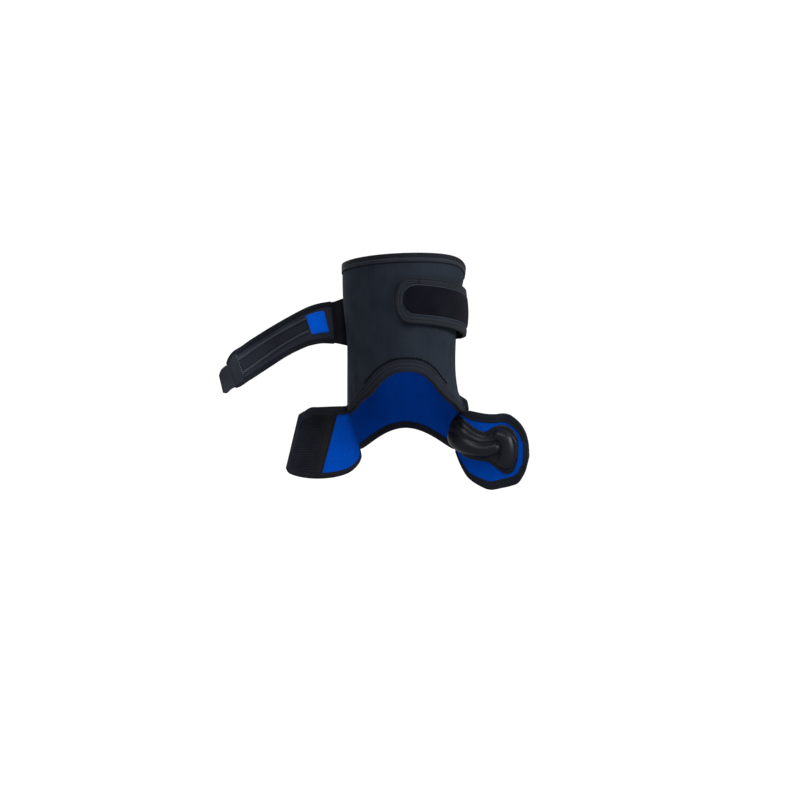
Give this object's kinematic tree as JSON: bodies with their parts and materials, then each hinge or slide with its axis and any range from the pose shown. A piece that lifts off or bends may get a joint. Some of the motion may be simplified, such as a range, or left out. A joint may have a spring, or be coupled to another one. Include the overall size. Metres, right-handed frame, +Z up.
{
  "type": "patella stabilizing knee brace",
  "caption": "Neoprene wrap-around knee brace shown undone: thigh cuff with an arch over the kneecap, two open wings, a J-shaped pad that steers the kneecap, and a thigh strap.",
  "frame": {"origin": "on the axis of the leg that the brace is worn on, at the height of the knee, below the arch", "axes": "+Z up along the leg, -Y to the front of the knee, +X to the wing that carries the J-shaped pad"},
  "size_m": [0.354, 0.1494, 0.2653],
  "materials": {
    "neoprene": "matte black knit over foam",
    "lining": "matte blue brushed loop",
    "binding": "matte black stretch tape",
    "hook_tape": "matte black hook tape",
    "loop_pile": "matte black velvet loop",
    "pad": "satin black"
  },
  "bodies": {
    "root": {"thigh_cuff": "neoprene", "cuff_lining": "lining", "top_binding": "binding", "arch_binding": "binding", "back_binding": "binding", "left_wing": "neoprene", "left_wing_lining": "lining", "left_wing_binding": "binding", "hook_panel": "hook_tape", "right_wing": "neoprene", "right_wing_lining": "lining", "right_wing_binding": "binding", "buttress_flange": "pad", "buttress_pad": "pad", "front_strap": "neoprene", "loop_panel": "loop_pile", "front_strap_binding": "binding", "back_strap": "neoprene", "side_strap": "neoprene", "side_strap_binding": "binding", "strap_lining": "lining", "hook_strip": "hook_tape", "upper_rib": "binding", "lower_rib": "binding", "pull_tab": "hook_tape"}
  },
  "joints": []
}
